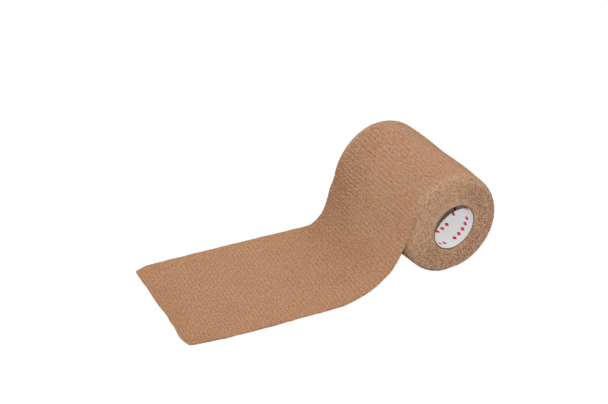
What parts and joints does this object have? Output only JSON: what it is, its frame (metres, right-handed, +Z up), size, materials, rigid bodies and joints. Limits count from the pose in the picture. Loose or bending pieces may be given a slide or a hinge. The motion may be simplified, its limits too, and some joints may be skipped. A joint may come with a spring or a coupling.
{
  "type": "cohesive bandage roll",
  "caption": "Tan creped cohesive bandage wound on an open paper core, lying on its side with its loose end run out flat.",
  "frame": {"origin": "On the surface that the roll lies on, under the middle of its axis, in the small flat that its weight presses.", "axes": "+Y along the roll's axis, from the end that shows to the far one; +Z up; -X the way the loose end runs out, so +X spans the longest extent."},
  "size_m": [0.188, 0.0909, 0.0582],
  "materials": {
    "bandage_cloth": "matt creped elastic cloth",
    "core_paper": "smooth white paper liner on a grey board tube"
  },
  "bodies": {
    "root": {"wound_roll": "bandage_cloth", "loose_end": "bandage_cloth", "core_tube": "core_paper"}
  },
  "joints": []
}
